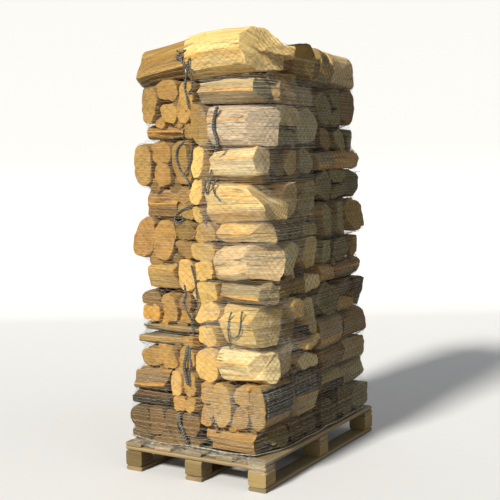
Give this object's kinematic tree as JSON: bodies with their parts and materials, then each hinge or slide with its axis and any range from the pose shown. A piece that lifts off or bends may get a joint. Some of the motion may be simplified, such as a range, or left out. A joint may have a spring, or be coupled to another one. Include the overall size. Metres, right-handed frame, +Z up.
{
  "type": "pallet of bagged firewood",
  "caption": "Light wooden pallet stacked head-high with net bags of split firewood, held by a clear knitted stretch wrap.",
  "frame": {"origin": "middle of the pallet's footprint, on the ground", "axes": "+Z up; the 0.8 m wide front faces -Y; +X is to the right of the front"},
  "size_m": [0.8, 1.2, 2.1161],
  "materials": {
    "split_wood": "raw split wood, dry, matte",
    "pallet_board_wood": "rough sawn softwood, weathered grey",
    "pallet_block_wood": "rough sawn softwood, worn"
  },
  "bodies": {
    "root": {"bag_01_front_left": "split_wood", "bag_01_front_right": "split_wood", "bag_01_rear_left": "split_wood", "bag_01_rear_right": "split_wood", "bag_02_front_left": "split_wood", "bag_02_front_right": "split_wood", "bag_02_rear_left": "split_wood", "bag_02_rear_right": "split_wood", "bag_03_front_left": "split_wood", "bag_03_front_right": "split_wood", "bag_03_rear_left": "split_wood", "bag_03_rear_right": "split_wood", "bag_04_front_left": "split_wood", "bag_04_front_right": "split_wood", "bag_04_rear_left": "split_wood", "bag_04_rear_right": "split_wood", "bag_05_front_left": "split_wood", "bag_05_front_right": "split_wood", "bag_05_rear_left": "split_wood", "bag_05_rear_right": "split_wood", "bag_06_front_left": "split_wood", "bag_06_front_right": "split_wood", "bag_06_rear_left": "split_wood", "bag_06_rear_right": "split_wood", "bag_07_front_left": "split_wood", "bag_07_front_right": "split_wood", "bag_07_rear_left": "split_wood", "bag_07_rear_right": "split_wood", "bag_08_front_left": "split_wood", "bag_08_front_right": "split_wood", "bag_08_rear_left": "split_wood", "bag_08_rear_right": "split_wood", "bag_09_front_left": "split_wood", "bag_09_front_right": "split_wood", "bag_09_rear_left": "split_wood", "bag_09_rear_right": "split_wood", "bag_10_front_left": "split_wood", "bag_10_front_right": "split_wood", "bag_10_rear_left": "split_wood", "bag_10_rear_right": "split_wood", "block_front_left": "pallet_block_wood", "block_front_middle": "pallet_block_wood", "block_front_right": "pallet_block_wood", "block_centre_left": "pallet_block_wood", "block_centre_middle": "pallet_block_wood", "block_centre_right": "pallet_block_wood", "block_rear_left": "pallet_block_wood", "block_rear_middle": "pallet_block_wood", "block_rear_right": "pallet_block_wood", "deck_board_1": "pallet_board_wood", "deck_board_2": "pallet_board_wood", "deck_board_3": "pallet_board_wood", "deck_board_4": "pallet_board_wood", "deck_board_5": "pallet_board_wood", "cross_board_front": "pallet_board_wood", "cross_board_centre": "pallet_board_wood", "cross_board_rear": "pallet_board_wood", "runner_left": "pallet_board_wood", "runner_middle": "pallet_board_wood", "runner_right": "pallet_board_wood"}
  },
  "joints": []
}
